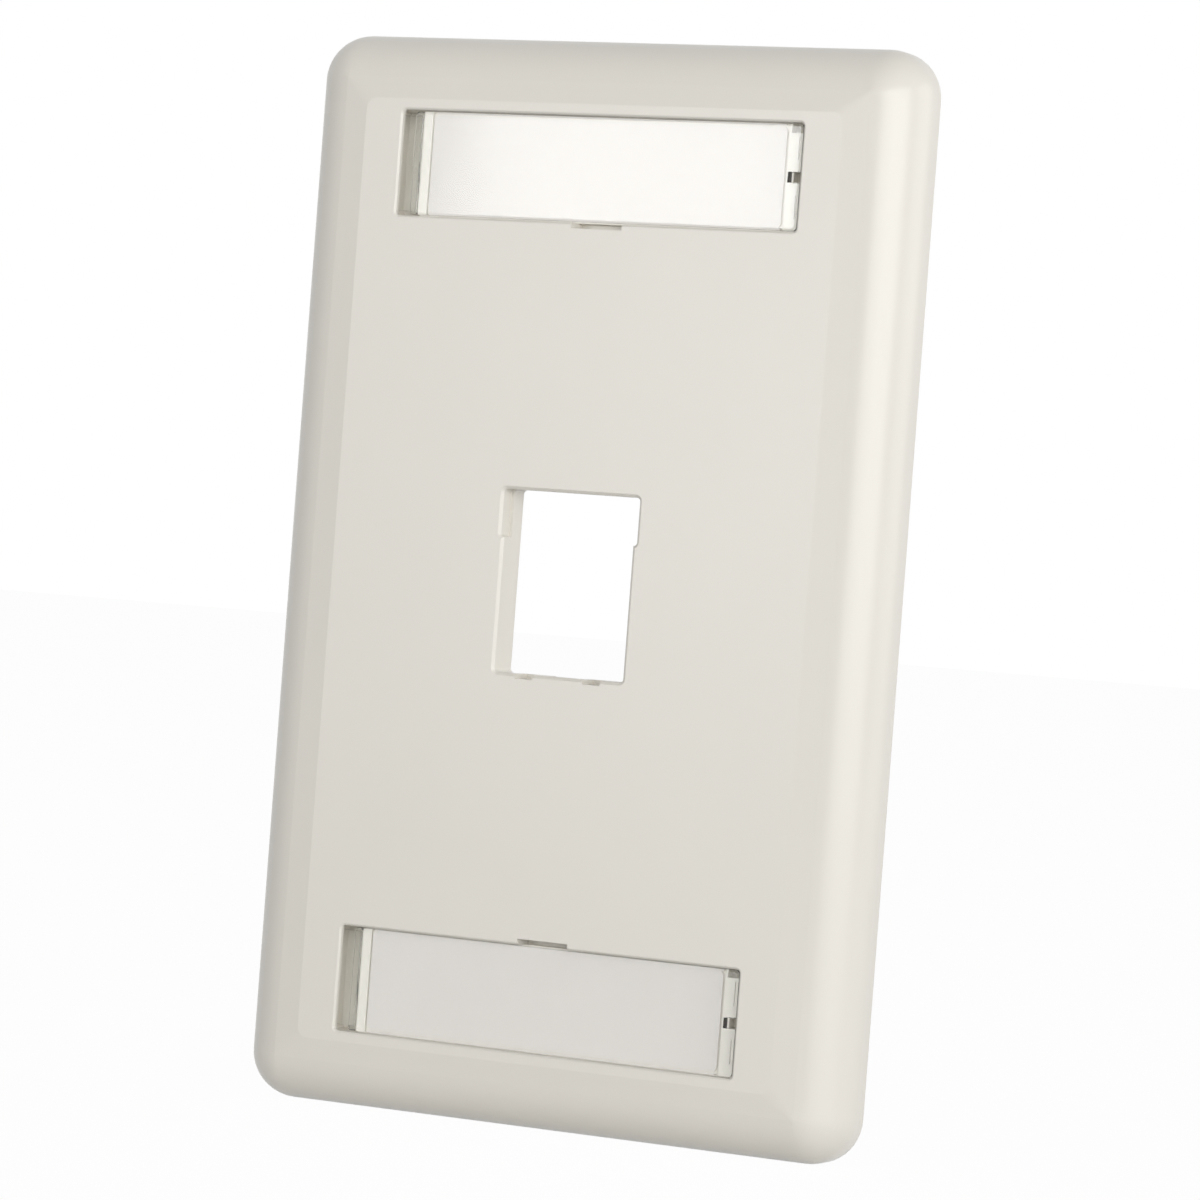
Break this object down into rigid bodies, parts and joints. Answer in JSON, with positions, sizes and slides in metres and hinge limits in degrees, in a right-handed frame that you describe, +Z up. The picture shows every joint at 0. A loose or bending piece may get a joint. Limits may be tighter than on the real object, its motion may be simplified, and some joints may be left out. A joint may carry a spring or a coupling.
{
  "type": "keystone faceplate",
  "caption": "Single-gang wall faceplate with a keystone port and hinge-out clear label windows that hide the mounting screws.",
  "frame": {"origin": "middle of the two-screw pattern on the wall plane", "axes": "+Z up along the plate, +Y into the wall, +X to the right seen from the front, so the front face looks along -Y"},
  "size_m": [0.0698, 0.0279, 0.1142],
  "materials": {
    "plate_plastic": "semi-gloss moulded thermoplastic, warm off-white",
    "clear_plastic": "clear polished polycarbonate",
    "label_card": "plain white card, bare",
    "screw_steel": "zinc-plated steel"
  },
  "bodies": {
    "plate": {"faceplate": "plate_plastic", "upper_label_card": "label_card", "lower_label_card": "label_card", "upper_mounting_screw": "screw_steel", "lower_mounting_screw": "screw_steel"},
    "upper_cover": {"upper_label_cover": "clear_plastic"},
    "lower_cover": {"lower_label_cover": "clear_plastic"}
  },
  "joints": [
    {"name": "upper_cover_swing", "type": "hinge", "parent": "plate", "child": "upper_cover", "pos_m": [-0.0236, -0.0059, 0.0433], "axis": [0, 0, -1], "range_deg": [0, 30]},
    {"name": "lower_cover_swing", "type": "hinge", "parent": "plate", "child": "lower_cover", "pos_m": [-0.0236, -0.0059, -0.0433], "axis": [0, 0, -1], "range_deg": [0, 30]}
  ]
}
